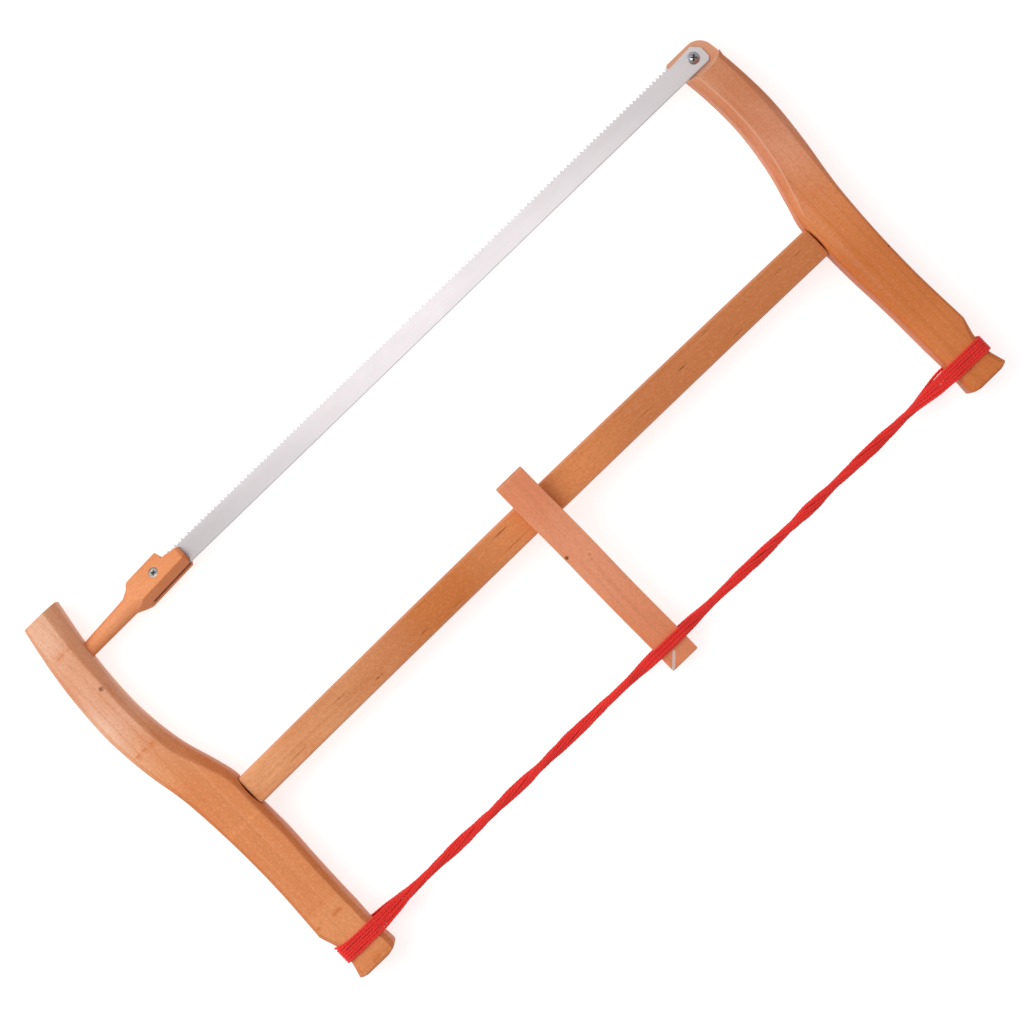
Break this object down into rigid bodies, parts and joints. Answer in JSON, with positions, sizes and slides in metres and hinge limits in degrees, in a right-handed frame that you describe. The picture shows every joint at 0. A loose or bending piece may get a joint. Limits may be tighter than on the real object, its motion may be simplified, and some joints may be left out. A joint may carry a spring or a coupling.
{
  "type": "bow saw",
  "caption": "Beech frame saw: two curved cheeks on a central stretcher, a thin toothed blade in a turned holder, and a twisted red cord tightened by a toggle.",
  "frame": {"origin": "bottom centre of the whole saw, lying flat on the backs of its cheeks", "axes": "+X along the blade from the holder to the screwed end, +Y from the tension cord to the blade, +Z out of the front face"},
  "size_m": [0.37, 0.195, 0.0244],
  "materials": {
    "beech_left": "oiled satin",
    "beech_right": "oiled satin",
    "beech_stretcher": "oiled satin",
    "beech_holder": "oiled satin",
    "beech_toggle": "oiled satin",
    "blade_steel": "satin ground",
    "screw_steel": "zinc plated",
    "screw_chrome": "bright plated",
    "red_twine": "laid twine"
  },
  "bodies": {
    "stretcher": {"stretcher": "beech_stretcher"},
    "left_cheek": {"left_cheek": "beech_left", "blade_holder": "beech_holder", "holder_screw": "screw_steel"},
    "right_cheek": {"right_cheek": "beech_right", "blade_screw": "screw_chrome"},
    "blade": {"blade": "blade_steel"},
    "cord": {"cord_wrap_left": "red_twine", "cord_wrap_right": "red_twine", "cord_span_left": "red_twine", "cord_span_right": "red_twine", "cord_knot": "red_twine"},
    "cord_eye": {"cord_eye": "red_twine"},
    "toggle": {"toggle": "beech_toggle"}
  },
  "joints": [
    {"name": "left_cheek_rock", "type": "hinge", "parent": "stretcher", "child": "left_cheek", "pos_m": [-0.1476, -0.0105, 0.009], "axis": [0, 0, 1], "range_deg": [-1.5, 1.5]},
    {"name": "right_cheek_rock", "type": "hinge", "parent": "stretcher", "child": "right_cheek", "pos_m": [0.1476, -0.0105, 0.009], "axis": [0, 0, 1], "range_deg": [-1.5, 1.5]},
    {"name": "blade_swing", "type": "hinge", "parent": "right_cheek", "child": "blade", "pos_m": [0.1748, 0.0765, 0.009], "axis": [0, 0, 1], "range_deg": [-1.5, 1.5]},
    {"name": "cord_swing", "type": "hinge", "parent": "left_cheek", "child": "cord", "pos_m": [-0.1689, -0.0845, 0.009], "axis": [0, 0, 1], "range_deg": [-1.5, 1.5]},
    {"name": "cord_twist", "type": "hinge", "parent": "cord", "child": "cord_eye", "pos_m": [0.0039, -0.0845, 0.009], "axis": [1, 0, 0], "range_deg": [0, 170]},
    {"name": "toggle_slide", "type": "slide", "parent": "cord_eye", "child": "toggle", "axis": [0, -0.9909, -0.1346], "range_m": [-0.004, 0.03]}
  ],
  "couplings": [
    {"joint": "right_cheek_rock", "follows": "left_cheek_rock", "ratio": 1},
    {"joint": "blade_swing", "follows": "left_cheek_rock", "ratio": -0.984},
    {"joint": "cord_swing", "follows": "left_cheek_rock", "ratio": -0.8739}
  ]
}
